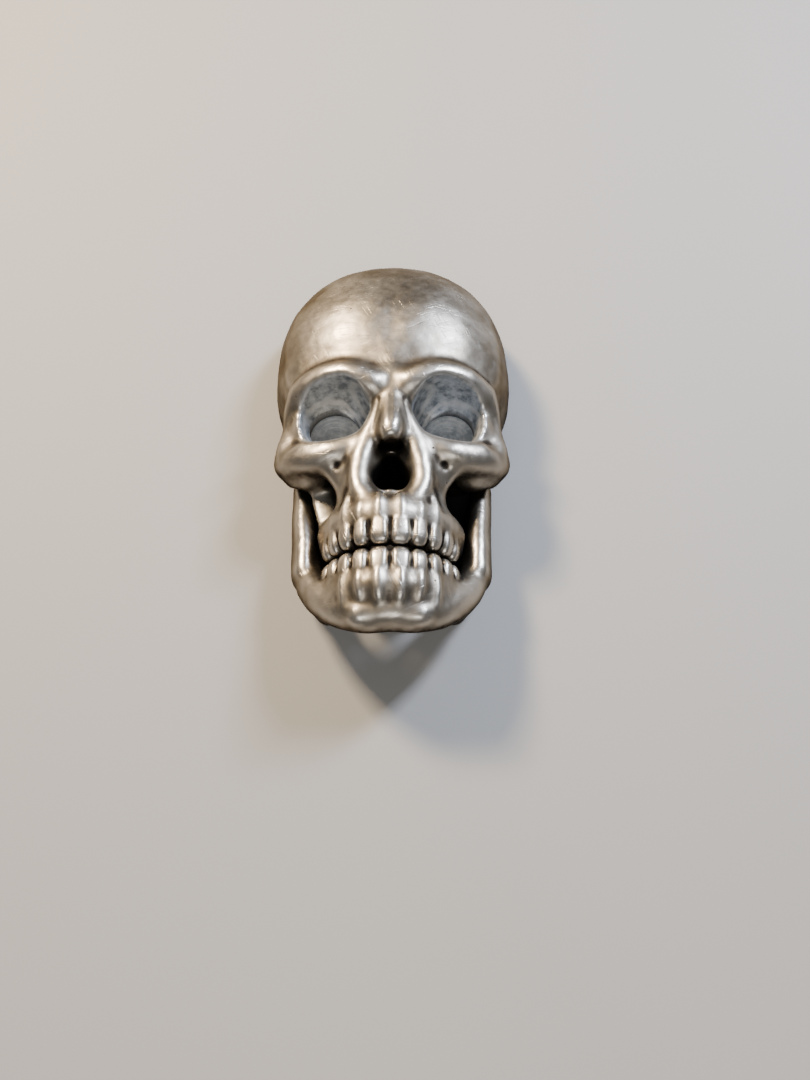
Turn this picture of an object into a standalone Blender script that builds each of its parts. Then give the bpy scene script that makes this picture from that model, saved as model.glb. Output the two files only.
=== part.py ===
"""A skull-shaped snowboard stomp pad.

Two hollow pewter castings, a skull and its lower jaw, are screwed from behind to a thin
backing plate, and a foam adhesive pad holds the plate to the board's top sheet.
+Z points out of the board, +Y to the skull's crown and -Y to its chin.
"""
import math

import bmesh
import bpy
from mathutils import Euler, Matrix, Vector

MM = 0.001

# Driving dimensions, in millimetres.
SKULL_WIDTH = 50.0  # across the cranium
SKULL_LENGTH = 88.0  # crown to chin
TOTAL_HEIGHT = 26.0  # board to the ridge of the nose
PAD_THICKNESS = 1.0
PLATE_THICKNESS = 1.5
FIT_GAP = 0.3  # left between neighbours
SHELL_WALL = 3.0  # of the cranium's casting
HALF = SKULL_WIDTH / 2
CRANIUM_SQUARENESS = 2.25  # 2 is a plain ellipsoid

# Levels on a skull, as shares of its length down from the crown.
CRANIUM_LEVEL = 0.31
BROW_LEVEL = 0.435
ORBIT_LEVEL = 0.51
CHEEK_LEVEL = 0.61
NOSE_TOP_LEVEL = 0.595
NOSE_BASE_LEVEL = 0.705
UPPER_TEETH_LEVEL = 0.808
JAW_ANGLE_LEVEL = 0.84
CHIN_LEVEL = 0.958

# Shares of the skull's width.
ORBIT_WIDTH = 0.28
ORBIT_HEIGHT = 0.25
ORBIT_SPACING = 0.17
NOSE_WIDTH = 0.17
JAW_WIDTH = 0.73

# Plate screws, M1.6 countersunk.
SCREW_RADIUS = 0.8
SCREW_HEAD_RADIUS = 1.5
SCREW_HEAD_HEIGHT = 0.9
SCREW_LENGTH = 5.5
BOSS_RADIUS = 3.0

# Round cups that close the backs of the eye sockets.
CUP_RADIUS = 5.6
CUP_THICKNESS = 1.7
CUP_WINDOW_RADIUS = 5.0
CUP_SCOOP_RADIUS = 16.0
CUP_SCOOP_DEPTH = 0.9
CUP_TOP = 0.435 * TOTAL_HEIGHT
CUP_BOTTOM = CUP_TOP - CUP_THICKNESS

# The egg-shaped plate: an ellipse behind the cranium and one behind the jaw.
PLATE_CRANIUM_RADII = (HALF - 2.6, 0.25 * SKULL_LENGTH)
PLATE_CRANIUM_LEVEL = 0.27
PLATE_JAW_RADII = (JAW_WIDTH * HALF - 0.2, 10.5)
PLATE_JAW_LEVEL = 0.79
PAD_INSET = 0.8

PLATE_BOTTOM = PAD_THICKNESS + FIT_GAP
PLATE_TOP = PLATE_BOTTOM + PLATE_THICKNESS
CASTING_BASE = PLATE_TOP + FIT_GAP

# Sizes of the teeth, from the midline outwards, on an elliptic arch.
TOOTH_WIDTHS = (3.4, 2.9, 3.1, 2.9, 2.8)
TOOTH_DEPTH = 4.0
TOOTH_GAP = 0.12
UPPER_TOOTH_HEIGHT = 5.0
LOWER_TOOTH_HEIGHT = 4.7
BITE_GAP = 0.5  # between the two rows
LOWER_TEETH_LEVEL = UPPER_TEETH_LEVEL + (
    (UPPER_TOOTH_HEIGHT + LOWER_TOOTH_HEIGHT) / 2 + BITE_GAP) / SKULL_LENGTH
DENTAL_ARCH = (11.6, 13.2)
ARCH_CENTRE = 0.36

# How finely the castings' surfaces are made.
FORM_VOXEL = 0.7
SKULL_DECIMATE = 0.062
JAW_DECIMATE = 0.15


def at(across, level, height):
    """A point from shares of the half width, the length below the crown and the height."""
    return Vector((across * HALF, (0.5 - level) * SKULL_LENGTH, height * TOTAL_HEIGHT))


def ellipsoid(bm, centre, radii, turn=(0, 0, 0), subdivisions=3, squareness=2.0):
    """An ellipsoid; a squareness over 2 fills out its corners."""
    made = bmesh.ops.create_icosphere(bm, subdivisions=subdivisions, radius=1)
    for vert in made["verts"]:
        vert.co /= sum(abs(c) ** squareness for c in vert.co) ** (1 / squareness)
    place = Matrix.LocRotScale(centre, Euler([math.radians(a) for a in turn]), Vector(radii))
    bmesh.ops.transform(bm, matrix=place, verts=made["verts"])


def smooth_path(points, steps=5):
    """Points and radii along a Catmull-Rom curve; each point is (position, radius)."""
    rows = [Vector((*p, r)) for p, r in points]
    rows = [2 * rows[0] - rows[1], *rows, 2 * rows[-1] - rows[-2]]
    path = []
    for a, b, c, d in zip(rows, rows[1:], rows[2:], rows[3:]):
        for i in range(steps):
            t = i / steps
            path.append(0.5 * (2 * b + (c - a) * t + (2 * a - 5 * b + 4 * c - d) * t ** 2
                               + (3 * b - 3 * c + d - a) * t ** 3))
    return path + [rows[-2]]


def ridge(bm, points, flatten=(1, 1, 1)):
    """A rounded bar through the points, made of overlapping ellipsoids."""
    for x, y, z, r in smooth_path(points):
        ellipsoid(bm, Vector((x, y, z)), [r * f for f in flatten], subdivisions=2)


def ridge_pair(bm, points, flatten=(1, 1, 1)):
    """A ridge on the skull's +X side and its mirror image on the -X side."""
    for side in (1, -1):
        ridge(bm, [(Vector((side * p.x, p.y, p.z)), r) for p, r in points], flatten)


def block(bm, centre, size, turn, rounding=0.8):
    """A tooth: a block with rounded edges, turned about Y to follow the dental arch."""
    made = bmesh.ops.create_cube(bm, size=1)
    bmesh.ops.scale(bm, vec=size, verts=made["verts"])
    bmesh.ops.rotate(bm, matrix=Matrix.Rotation(turn, 3, "Y"), verts=made["verts"])
    bmesh.ops.translate(bm, vec=centre, verts=made["verts"])
    edges = list({e for v in made["verts"] for e in v.link_edges})
    bmesh.ops.bevel(bm, geom=edges, offset=rounding, segments=2, profile=0.5,
                    affect="EDGES", material=-1)


def cylinder(bm, x, y, low, high, radius, top_radius=None, segments=24):
    made = bmesh.ops.create_cone(
        bm, cap_ends=True, segments=segments, depth=high - low,
        radius1=radius, radius2=radius if top_radius is None else top_radius)
    bmesh.ops.translate(bm, vec=(x, y, (low + high) / 2), verts=made["verts"])


def new_object(name, bm, material=None):
    """Turns a bmesh drawn in millimetres into an object in metres."""
    bmesh.ops.scale(bm, vec=(MM, MM, MM), verts=bm.verts)
    mesh = bpy.data.meshes.new(name)
    bm.to_mesh(mesh)
    bm.free()
    obj = bpy.data.objects.new(name, mesh)
    bpy.context.scene.collection.objects.link(obj)
    if material:
        mesh.materials.append(material)
        mesh.shade_smooth()
    return obj


def cutter(name, bm):
    obj = new_object(name, bm)
    obj.hide_render = True
    obj.display_type = "WIRE"
    return obj


def metal(name, colour, roughness, metallic=1.0):
    material = bpy.data.materials.new(name)
    material.use_nodes = True
    shader = material.node_tree.nodes["Principled BSDF"]
    shader.inputs["Base Color"].default_value = (*colour, 1)
    shader.inputs["Roughness"].default_value = roughness
    shader.inputs["Metallic"].default_value = metallic
    return material


def remesh(obj, voxel):
    step = obj.modifiers.new("remesh", "REMESH")
    step.mode = "VOXEL"
    step.voxel_size = voxel * MM


def soften(obj, iterations):
    step = obj.modifiers.new("soften", "SMOOTH")
    step.factor = 0.5
    step.iterations = iterations


def cut(obj, tool):
    step = obj.modifiers.new("cut_" + tool.name, "BOOLEAN")
    step.operation = "DIFFERENCE"
    step.object = tool


def decimate(obj, ratio):
    obj.modifiers.new("decimate", "DECIMATE").ratio = ratio


def add(obj, tool):
    step = obj.modifiers.new("add_" + tool.name, "BOOLEAN")
    step.operation = "UNION"
    step.use_self = True  # neighbouring teeth overlap at their inner corners
    step.object = tool


def arch_point(angle, level):
    """A point on the dental arch; the angle is zero at the midline."""
    middle = at(0, level, ARCH_CENTRE)
    across, deep = DENTAL_ARCH
    return middle + Vector((across * math.sin(angle), 0, deep * math.cos(angle)))


def gum(bm, level, radius):
    """The ridge of bone that a row of teeth stands in."""
    reach = math.radians(78)
    for i in range(25):
        angle = reach * (i / 12 - 1)
        point = arch_point(angle, level)
        point.z -= 1.0
        ellipsoid(bm, point, (radius, radius * 1.15, radius), subdivisions=2)


def tooth_row(name, level, height):
    """A row of separate teeth, from the midline outwards on both sides."""
    bm = bmesh.new()
    across, deep = DENTAL_ARCH
    for side in (1, -1):
        angle = 0.0
        for width in TOOTH_WIDTHS:
            reach = math.hypot(across * math.cos(angle), deep * math.sin(angle))
            middle = angle + width / 2 / reach
            lean = math.atan2(deep * math.sin(middle), across * math.cos(middle))
            block(bm, arch_point(side * middle, level), (width - TOOTH_GAP, height, TOOTH_DEPTH),
                  side * lean)
            angle += width / reach
    return cutter(name, bm)


def orbit_centre(side, height):
    across = side * (ORBIT_SPACING + ORBIT_WIDTH)
    return at(across, ORBIT_LEVEL, height)


def skull_form():
    """The outer form of the cranium, brow, nose, cheekbones and upper jaw."""
    bm = bmesh.new()
    length = SKULL_LENGTH
    height = TOTAL_HEIGHT
    ellipsoid(bm, at(0, CRANIUM_LEVEL, 0.12), (HALF, CRANIUM_LEVEL * length, 0.79 * height),
              subdivisions=4, squareness=CRANIUM_SQUARENESS)
    ellipsoid(bm, at(0, 0.35, 0.30), (0.80 * HALF, 0.21 * length, 0.61 * height))
    ellipsoid(bm, at(0, 0.50, 0.28), (0.74 * HALF, 0.13 * length, 0.50 * height))
    ellipsoid(bm, at(0, 0.66, 0.34), (0.38 * HALF, 0.13 * length, 0.46 * height))
    for side in (1, -1):
        orbit_wall = at(side * 0.47, ORBIT_LEVEL + 0.01, 0.34)
        ellipsoid(bm, orbit_wall, (0.42 * HALF, 0.107 * length, 0.44 * height))
        cheekbone = at(side * 0.64, CHEEK_LEVEL - 0.005, 0.50)
        ellipsoid(bm, cheekbone, (0.26 * HALF, 0.050 * length, 0.20 * height),
                  turn=(0, side * 35, side * 10))
    brow = [
        (at(0.13, BROW_LEVEL + 0.016, 0.83), 3.3),
        (at(0.34, BROW_LEVEL - 0.006, 0.815), 3.7),
        (at(0.58, BROW_LEVEL - 0.006, 0.72), 3.6),
        (at(0.76, BROW_LEVEL + 0.025, 0.57), 3.0),
        (at(0.81, ORBIT_LEVEL, 0.51), 2.5),
        (at(0.79, CHEEK_LEVEL - 0.03, 0.54), 2.9),
    ]
    cheek = [
        (at(0.26, CHEEK_LEVEL - 0.025, 0.74), 2.7),
        (at(0.46, CHEEK_LEVEL, 0.73), 3.0),
        (at(0.65, CHEEK_LEVEL - 0.005, 0.64), 3.3),
        (at(0.79, CHEEK_LEVEL - 0.015, 0.50), 3.2),
        (at(0.83, CHEEK_LEVEL - 0.05, 0.34), 2.8),
        (at(0.83, CHEEK_LEVEL - 0.09, 0.18), 2.8),
    ]
    pillar = [
        (at(0.44, CHEEK_LEVEL + 0.015, 0.70), 2.8),
        (at(0.31, 0.680, 0.68), 2.9),
        (at(0.30, 0.745, 0.64), 3.0),
    ]
    nose_side = [
        (at(0.07, ORBIT_LEVEL, 0.81), 2.3),
        (at(0.19, NOSE_TOP_LEVEL + 0.01, 0.79), 2.5),
        (at(0.24, NOSE_BASE_LEVEL - 0.02, 0.78), 2.5),
        (at(0.15, NOSE_BASE_LEVEL + 0.03, 0.80), 2.4),
    ]
    for points in (brow, cheek, pillar, nose_side):
        ridge_pair(bm, points)
    ridge(bm, [
        (at(0, BROW_LEVEL + 0.03, 0.82), 2.8),
        (at(0, ORBIT_LEVEL, 0.85), 2.3),
        (at(0, NOSE_TOP_LEVEL - 0.015, 0.925), 2.4),
    ])
    gum(bm, 0.765, 2.9)
    gum(bm, 0.793, 2.3)
    casting_web = at(-0.50, 0.68, 0.42)  # left by the mould across one cheek
    ellipsoid(bm, casting_web, (3.6, 6.5, 1.1))
    return bm


def jaw_uprights(bm, spare=0.0):
    """The jaw's broad upright ends, which run up behind the cheekbones."""
    rows = [
        (at(JAW_WIDTH - 0.11, JAW_ANGLE_LEVEL - 0.005, 0.31), 2.6 + spare),
        (at(JAW_WIDTH - 0.10, JAW_ANGLE_LEVEL - 0.075, 0.28), 2.5 + spare),
        (at(JAW_WIDTH - 0.06, CHEEK_LEVEL + 0.075, 0.24), 2.3 + spare),
        (at(JAW_WIDTH - 0.01, CHEEK_LEVEL, 0.20), 2.1 + spare),
    ]
    ridge_pair(bm, rows, flatten=(1, 1, 1.9))


def jaw_form():
    """The outer form of the lower jaw: a U-shaped band, its gum and its upright ends."""
    bm = bmesh.new()
    ridge_pair(bm, [
        (at(0.00, CHIN_LEVEL, 0.73), 3.1),
        (at(0.20, CHIN_LEVEL - 0.001, 0.71), 3.2),
        (at(0.39, CHIN_LEVEL - 0.023, 0.61), 3.1),
        (at(0.54, CHIN_LEVEL - 0.064, 0.47), 3.0),
        (at(JAW_WIDTH - 0.11, JAW_ANGLE_LEVEL, 0.36), 2.9),
        (at(JAW_WIDTH - 0.10, JAW_ANGLE_LEVEL - 0.06, 0.30), 2.7),
        (at(JAW_WIDTH - 0.08, JAW_ANGLE_LEVEL - 0.11, 0.26), 2.4),
    ], flatten=(1, 1.15, 1.1))
    jaw_uprights(bm)
    ellipsoid(bm, at(0, CHIN_LEVEL + 0.005, 0.75), (5.6, 3.0, 3.3))
    for side in (1, -1):
        ellipsoid(bm, at(side * 0.20, CHIN_LEVEL + 0.010, 0.74), (3.0, 2.6, 3.0))
    gum(bm, LOWER_TEETH_LEVEL + 0.050, 2.9)
    gum(bm, LOWER_TEETH_LEVEL + 0.024, 2.6)
    return bm


def socket_tool():
    bm = bmesh.new()
    radii = (ORBIT_WIDTH * HALF, ORBIT_HEIGHT * HALF, 0.40 * TOTAL_HEIGHT)
    for side in (1, -1):
        ellipsoid(bm, orbit_centre(side, 0.80), radii, turn=(0, side * 14, side * -10),
                  subdivisions=4, squareness=2.4)
    return bm


def nose_tool():
    """A pear-shaped opening with some draught: its two sides spread from a narrow top."""
    bm = bmesh.new()
    narrow, wide = 1.1, NOSE_WIDTH * HALF * 0.46
    top, base = NOSE_TOP_LEVEL + 0.020, NOSE_BASE_LEVEL - 0.030
    steps = 6
    for side in (1, -1):
        for i in range(steps + 1):
            t = i / steps
            middle = at(side * 0.068 * t ** 1.3, top + (base - top) * t, 0)
            radius = narrow + (wide - narrow) * t
            cylinder(bm, middle.x, middle.y, 0.40 * TOTAL_HEIGHT, 1.1 * TOTAL_HEIGHT,
                     0.85 * radius, 1.1 * radius)
    tool = cutter("nose_tool", bm)
    remesh(tool, 0.4)
    return tool


def upright_room_tool():
    """Room behind the cheekbones for the jaw's upright ends."""
    bm = bmesh.new()
    jaw_uprights(bm, spare=0.7)
    tool = cutter("upright_room_tool", bm)
    remesh(tool, 0.6)
    return tool


def screw_places():
    """The plate screws: two into the skull's bosses and two into the jaw."""
    skull = at(0.52, 0.15, 0)
    jaw = at(JAW_WIDTH - 0.10, 0.765, 0)
    return {
        "skull_screw_left": (skull.x, skull.y),
        "skull_screw_right": (-skull.x, skull.y),
        "jaw_screw_left": (jaw.x, jaw.y),
        "jaw_screw_right": (-jaw.x, jaw.y),
    }


def base_tool():
    """Takes away everything below the castings' flat rim."""
    bm = bmesh.new()
    made = bmesh.ops.create_cube(bm, size=1)
    size = Matrix.LocRotScale((0, 0, CASTING_BASE - 15), Euler(), Vector((80, 120, 30)))
    bmesh.ops.transform(bm, matrix=size, verts=made["verts"])
    return bm


def hollow_tool():
    """The cranium's hollow, less the two bosses that the skull's screws go into."""
    bm = bmesh.new()
    radii = (HALF - SHELL_WALL, 0.208 * SKULL_LENGTH, 0.79 * TOTAL_HEIGHT - SHELL_WALL)
    ellipsoid(bm, at(0, 0.245, 0.12), radii, subdivisions=4, squareness=CRANIUM_SQUARENESS)
    tool = cutter("hollow_tool", bm)
    bosses = bmesh.new()
    for name, (x, y) in screw_places().items():
        if name.startswith("skull"):
            cylinder(bosses, x, y, 0, TOTAL_HEIGHT, BOSS_RADIUS)
    cut(tool, cutter("boss_tool", bosses))
    return tool


def face_hollow_tool():
    """The hollow behind the nose and the upper jaw."""
    bm = bmesh.new()
    ellipsoid(bm, at(0, 0.66, 0.12), (0.32 * HALF, 0.115 * SKULL_LENGTH, 0.42 * TOTAL_HEIGHT))
    return bm


def holes_tool():
    """Blind screw holes in both castings."""
    bm = bmesh.new()
    for x, y in screw_places().values():
        cylinder(bm, x, y, 0, PLATE_BOTTOM + SCREW_LENGTH + 0.5, SCREW_RADIUS + FIT_GAP)
    return bm


def cup_seat_tool():
    """Each socket's round window, with a wider seat for its cup behind it."""
    bm = bmesh.new()
    for side in (1, -1):
        centre = orbit_centre(side, 0)
        cylinder(bm, centre.x, centre.y, CUP_BOTTOM - 12, CUP_TOP + FIT_GAP,
                 CUP_RADIUS + FIT_GAP, segments=32)
    windows = bmesh.new()
    for side in (1, -1):
        centre = orbit_centre(side, 0)
        cylinder(windows, centre.x, centre.y, CUP_TOP - 1, CUP_TOP + 4, CUP_WINDOW_RADIUS,
                 segments=32)
    return cutter("cup_seat_tool", bm), cutter("cup_window_tool", windows)


def build_upper_skull(pewter, shared):
    skull = new_object("upper_skull", skull_form(), pewter)
    remesh(skull, FORM_VOXEL)
    soften(skull, 7)
    cut(skull, cutter("socket_tool", socket_tool()))
    cut(skull, nose_tool())
    cut(skull, upright_room_tool())
    remesh(skull, FORM_VOXEL)
    soften(skull, 2)
    decimate(skull, SKULL_DECIMATE)
    add(skull, tooth_row("upper_teeth_form", UPPER_TEETH_LEVEL, UPPER_TOOTH_HEIGHT))
    tools = [shared["base"], hollow_tool(), cutter("face_hollow_tool", face_hollow_tool())]
    for tool in (*tools, *cup_seat_tool(), shared["holes"]):
        cut(skull, tool)


def build_lower_jaw(pewter, shared):
    jaw = new_object("lower_jaw", jaw_form(), pewter)
    remesh(jaw, FORM_VOXEL)
    soften(jaw, 4)
    decimate(jaw, JAW_DECIMATE)
    add(jaw, tooth_row("lower_teeth_form", LOWER_TEETH_LEVEL, LOWER_TOOTH_HEIGHT))
    cut(jaw, shared["base"])
    cut(jaw, shared["holes"])


def build_eye_cup(name, side, material):
    """A round cup whose front is scooped out."""
    bm = bmesh.new()
    centre = orbit_centre(side, 0)
    cylinder(bm, centre.x, centre.y, CUP_BOTTOM, CUP_TOP, CUP_RADIUS, segments=32)
    cup = new_object(name, bm, material)
    cup.data.set_sharp_from_angle(angle=math.radians(40))
    scoop = bmesh.new()
    middle = Vector((centre.x, centre.y, CUP_TOP + CUP_SCOOP_RADIUS - CUP_SCOOP_DEPTH))
    ellipsoid(scoop, middle, (CUP_SCOOP_RADIUS,) * 3, subdivisions=4)
    cut(cup, cutter(name + "_scoop", scoop))


def egg(name, bottom, top, inset, material):
    """A flat egg-shaped plate under both castings."""
    bm = bmesh.new()
    upper = (at(0, PLATE_CRANIUM_LEVEL, 0), *PLATE_CRANIUM_RADII)
    lower = (at(0, PLATE_JAW_LEVEL, 0), *PLATE_JAW_RADII)
    for centre, rx, ry in (upper, lower):
        made = bmesh.ops.create_circle(bm, segments=64, radius=1)
        place = Matrix.LocRotScale(
            (centre.x, centre.y, bottom), Euler(), Vector((rx - inset, ry - inset, 1)))
        bmesh.ops.transform(bm, matrix=place, verts=made["verts"])
    hull = bmesh.ops.convex_hull(bm, input=bm.verts)
    spare = [v for v in hull["geom_interior"] if isinstance(v, bmesh.types.BMVert)]
    bmesh.ops.delete(bm, geom=spare, context="VERTS")
    bmesh.ops.dissolve_limit(bm, angle_limit=0.01, verts=bm.verts, edges=bm.edges)
    face = max(bm.faces, key=lambda f: f.calc_area())
    for other in [f for f in bm.faces if f is not face]:
        bm.faces.remove(other)
    made = bmesh.ops.extrude_face_region(bm, geom=[face])
    raised = [v for v in made["geom"] if isinstance(v, bmesh.types.BMVert)]
    bmesh.ops.translate(bm, vec=(0, 0, top - bottom), verts=raised)
    bmesh.ops.recalc_face_normals(bm, faces=bm.faces)
    plate = new_object(name, bm, material)
    plate.data.set_sharp_from_angle(angle=math.radians(40))
    return plate


def build_backing_plate(material):
    """The plate, with a countersunk hole for each screw."""
    plate = egg("backing_plate", PLATE_BOTTOM, PLATE_TOP, 0, material)
    holes = bmesh.new()
    sinks = bmesh.new()
    slope = (SCREW_HEAD_RADIUS - SCREW_RADIUS) / SCREW_HEAD_HEIGHT
    mouth = SCREW_HEAD_RADIUS + FIT_GAP
    below = 0.5  # the countersink tool starts this far under the plate
    for x, y in screw_places().values():
        cylinder(holes, x, y, PLATE_BOTTOM - 1, PLATE_TOP + 1, SCREW_RADIUS + FIT_GAP)
        top = PLATE_BOTTOM + (mouth - SCREW_RADIUS) / slope
        cylinder(sinks, x, y, PLATE_BOTTOM - below, top, mouth + below * slope, SCREW_RADIUS)
    cut(plate, cutter("plate_hole_tool", holes))
    cut(plate, cutter("countersink_tool", sinks))


def build_screw(name, x, y, material):
    """A countersunk screw, head down, turned from one profile."""
    profile = [
        (0, PLATE_BOTTOM),
        (SCREW_HEAD_RADIUS, PLATE_BOTTOM),
        (SCREW_RADIUS, PLATE_BOTTOM + SCREW_HEAD_HEIGHT),
        (SCREW_RADIUS, PLATE_BOTTOM + SCREW_LENGTH - 0.3),
        (SCREW_RADIUS - 0.3, PLATE_BOTTOM + SCREW_LENGTH),
        (0, PLATE_BOTTOM + SCREW_LENGTH),
    ]
    bm = bmesh.new()
    verts = [bm.verts.new((r, 0, z)) for r, z in profile]
    edges = [bm.edges.new(pair) for pair in zip(verts, verts[1:])]
    bmesh.ops.spin(bm, geom=verts + edges, axis=(0, 0, 1), cent=(0, 0, 0),
                   angle=2 * math.pi, steps=20, use_merge=True)
    bmesh.ops.remove_doubles(bm, verts=bm.verts, dist=0.001)
    bmesh.ops.recalc_face_normals(bm, faces=bm.faces)
    bmesh.ops.translate(bm, vec=(x, y, 0), verts=bm.verts)
    screw = new_object(name, bm, material)
    screw.data.set_sharp_from_angle(angle=math.radians(40))


def main():
    for obj in list(bpy.data.objects):
        bpy.data.objects.remove(obj)
    pewter = metal("pewter", (0.50, 0.47, 0.43), 0.32)
    dark_pewter = metal("dark_pewter", (0.20, 0.22, 0.25), 0.45)
    steel = metal("steel", (0.55, 0.55, 0.56), 0.30)
    plastic = metal("black_plastic", (0.02, 0.02, 0.02), 0.5, metallic=0)
    foam = metal("black_foam", (0.03, 0.03, 0.03), 0.9, metallic=0)
    shared = {"base": cutter("base_tool", base_tool()), "holes": cutter("holes_tool", holes_tool())}
    build_upper_skull(pewter, shared)
    build_lower_jaw(pewter, shared)
    build_eye_cup("eye_cup_left", 1, dark_pewter)
    build_eye_cup("eye_cup_right", -1, dark_pewter)
    build_backing_plate(plastic)
    egg("adhesive_pad", 0, PAD_THICKNESS, PAD_INSET, foam)
    for name, (x, y) in screw_places().items():
        build_screw(name, x, y, steel)


main()
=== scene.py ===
"""The finish of a skull-shaped stomp pad: two antiqued pewter castings, patinated eye cups,
a moulded backing plate, a foam adhesive pad and turned screws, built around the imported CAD."""
import math

import bmesh
import bpy
import numpy as np
from mathutils import Euler, Matrix, Vector, noise
from mathutils.bvhtree import BVHTree


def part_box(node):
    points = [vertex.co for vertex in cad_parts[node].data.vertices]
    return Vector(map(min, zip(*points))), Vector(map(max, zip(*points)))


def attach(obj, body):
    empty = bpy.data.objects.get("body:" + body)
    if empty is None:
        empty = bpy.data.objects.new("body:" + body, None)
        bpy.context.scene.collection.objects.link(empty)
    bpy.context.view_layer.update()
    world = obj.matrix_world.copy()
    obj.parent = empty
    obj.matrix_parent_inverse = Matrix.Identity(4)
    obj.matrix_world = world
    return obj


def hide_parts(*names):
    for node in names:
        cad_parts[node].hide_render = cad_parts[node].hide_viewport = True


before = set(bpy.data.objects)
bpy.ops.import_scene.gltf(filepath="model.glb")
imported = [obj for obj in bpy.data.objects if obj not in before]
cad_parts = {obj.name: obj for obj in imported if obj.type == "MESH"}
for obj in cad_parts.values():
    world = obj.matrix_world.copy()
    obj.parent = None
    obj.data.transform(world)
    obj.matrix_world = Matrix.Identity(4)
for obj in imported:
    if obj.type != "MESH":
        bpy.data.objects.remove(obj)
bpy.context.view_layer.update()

MM = 0.001
BODY = "root"
SCREWS = ("skull_screw_left", "skull_screw_right", "jaw_screw_left", "jaw_screw_right")

# Places that come from the frame, in millimetres.
SKULL_LOW, SKULL_HIGH = (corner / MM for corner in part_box("upper_skull"))
JAW_LOW, JAW_HIGH = (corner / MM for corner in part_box("lower_jaw"))
CUP_LOW, CUP_HIGH = (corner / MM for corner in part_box("eye_cup_left"))
CASTING_BASE = SKULL_LOW.z
CUP_RADIUS = (CUP_HIGH.x - CUP_LOW.x) / 2

# The design's own driving sizes, in millimetres.
SKULL_WIDTH = 50.0
SKULL_LENGTH = 88.0
TOTAL_HEIGHT = 26.0
SHELL_WALL = 3.0
HALF = SKULL_WIDTH / 2
CRANIUM_SQUARENESS = 2.25  # 2 is a plain ellipsoid
CUP_WINDOW_RADIUS = CUP_RADIUS - 0.6
FIT_GAP = 0.3

# Levels on a skull, as shares of its length down from the crown.
CRANIUM_LEVEL = 0.31
BROW_LEVEL = 0.435
ORBIT_LEVEL = 0.51
CHEEK_LEVEL = 0.61
NOSE_TOP_LEVEL = 0.595
NOSE_BASE_LEVEL = 0.705
UPPER_TEETH_LEVEL = 0.808
JAW_ANGLE_LEVEL = 0.84
CHIN_LEVEL = 0.958

# Shares of the skull's width.
ORBIT_WIDTH = 0.28
ORBIT_HEIGHT = 0.25
ORBIT_SPACING = 0.17
NOSE_WIDTH = 0.17
JAW_WIDTH = 0.73

# The rounded form that hollows out an eye socket.
SOCKET_RADII = (ORBIT_WIDTH * HALF, ORBIT_HEIGHT * HALF, 0.40 * TOTAL_HEIGHT)
SOCKET_HEIGHT = 0.80
SOCKET_SQUARENESS = 2.4

# Teeth, from the midline outwards, on an elliptic arch.
TOOTH_WIDTHS = (3.4, 2.9, 3.1, 2.9, 2.8)
TOOTH_POINTS = (0.02, 0.06, 0.30, 0.16, 0.10)  # how much each narrows to its biting edge
ROOT_LENGTHS = (4.4, 4.0, 5.6, 4.0, 3.6)
TOOTH_DEPTH = 4.0
UPPER_TOOTH_HEIGHT = 5.3
LOWER_TOOTH_HEIGHT = 5.0
BITE_GAP = 0.2
LOWER_TEETH_LEVEL = UPPER_TEETH_LEVEL + (
    (UPPER_TOOTH_HEIGHT + LOWER_TOOTH_HEIGHT) / 2 + BITE_GAP) / SKULL_LENGTH
DENTAL_ARCH = (11.6, 13.2)
ARCH_CENTRE = 0.36

# Where the film is left on the castings, and where painted shade darkens their steep sides.
WHEEL_REACH = 9.0  # metal this near can keep the polishing wheel off a spot
GROOVE_SIZE = 1.2
VALLEY_SIZE = 2.6
STEEP_FROM = 0.50  # the share of straight up below which a face counts as a side
LOW_FROM = 0.42 * TOTAL_HEIGHT
LOW_BAND = 0.25 * TOTAL_HEIGHT

# The castings' colours, from bare metal to the bottoms of the grooves; the two film colours also
# paint shade on the steep sides.
PEWTER_BODY = "#8A8173"
PEWTER_BRIGHT = "#C6BEB1"
THIN_FILM_AND_SIDE_SHADE = "#564F46"
THICK_FILM_AND_SIDE_SHADE = "#181513"

# How finely the castings are made.
ROUGH_VOXEL = 0.42
FINE_VOXEL = 0.33
RAYS = 16


# ---------------------------------------------------------------- shaping

def at(across, level, height):
    """A point from shares of the half width, the length below the crown and the height."""
    return Vector((across * HALF, (0.5 - level) * SKULL_LENGTH, height * TOTAL_HEIGHT))


def ellipsoid(bm, centre, radii, turn=(0, 0, 0), subdivisions=4, squareness=2.0):
    """An ellipsoid; a squareness over 2 fills out its corners."""
    made = bmesh.ops.create_icosphere(bm, subdivisions=subdivisions, radius=1)
    for vert in made["verts"]:
        vert.co /= sum(abs(c) ** squareness for c in vert.co) ** (1 / squareness)
    place = Matrix.LocRotScale(centre, Euler([math.radians(a) for a in turn]), Vector(radii))
    bmesh.ops.transform(bm, matrix=place, verts=made["verts"])


def smooth_path(points, steps=7):
    """Points and radii along a Catmull-Rom curve; each point is (position, radius)."""
    rows = [Vector((*p, r)) for p, r in points]
    rows = [2 * rows[0] - rows[1], *rows, 2 * rows[-1] - rows[-2]]
    path = []
    for a, b, c, d in zip(rows, rows[1:], rows[2:], rows[3:]):
        for i in range(steps):
            t = i / steps
            path.append(0.5 * (2 * b + (c - a) * t + (2 * a - 5 * b + 4 * c - d) * t ** 2
                               + (3 * b - 3 * c + d - a) * t ** 3))
    return path + [rows[-2]]


def ridge(bm, points, flatten=(1, 1, 1)):
    """A rounded bar through the points, made of overlapping ellipsoids."""
    for x, y, z, r in smooth_path(points):
        ellipsoid(bm, Vector((x, y, z)), [r * f for f in flatten], subdivisions=3)


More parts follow.
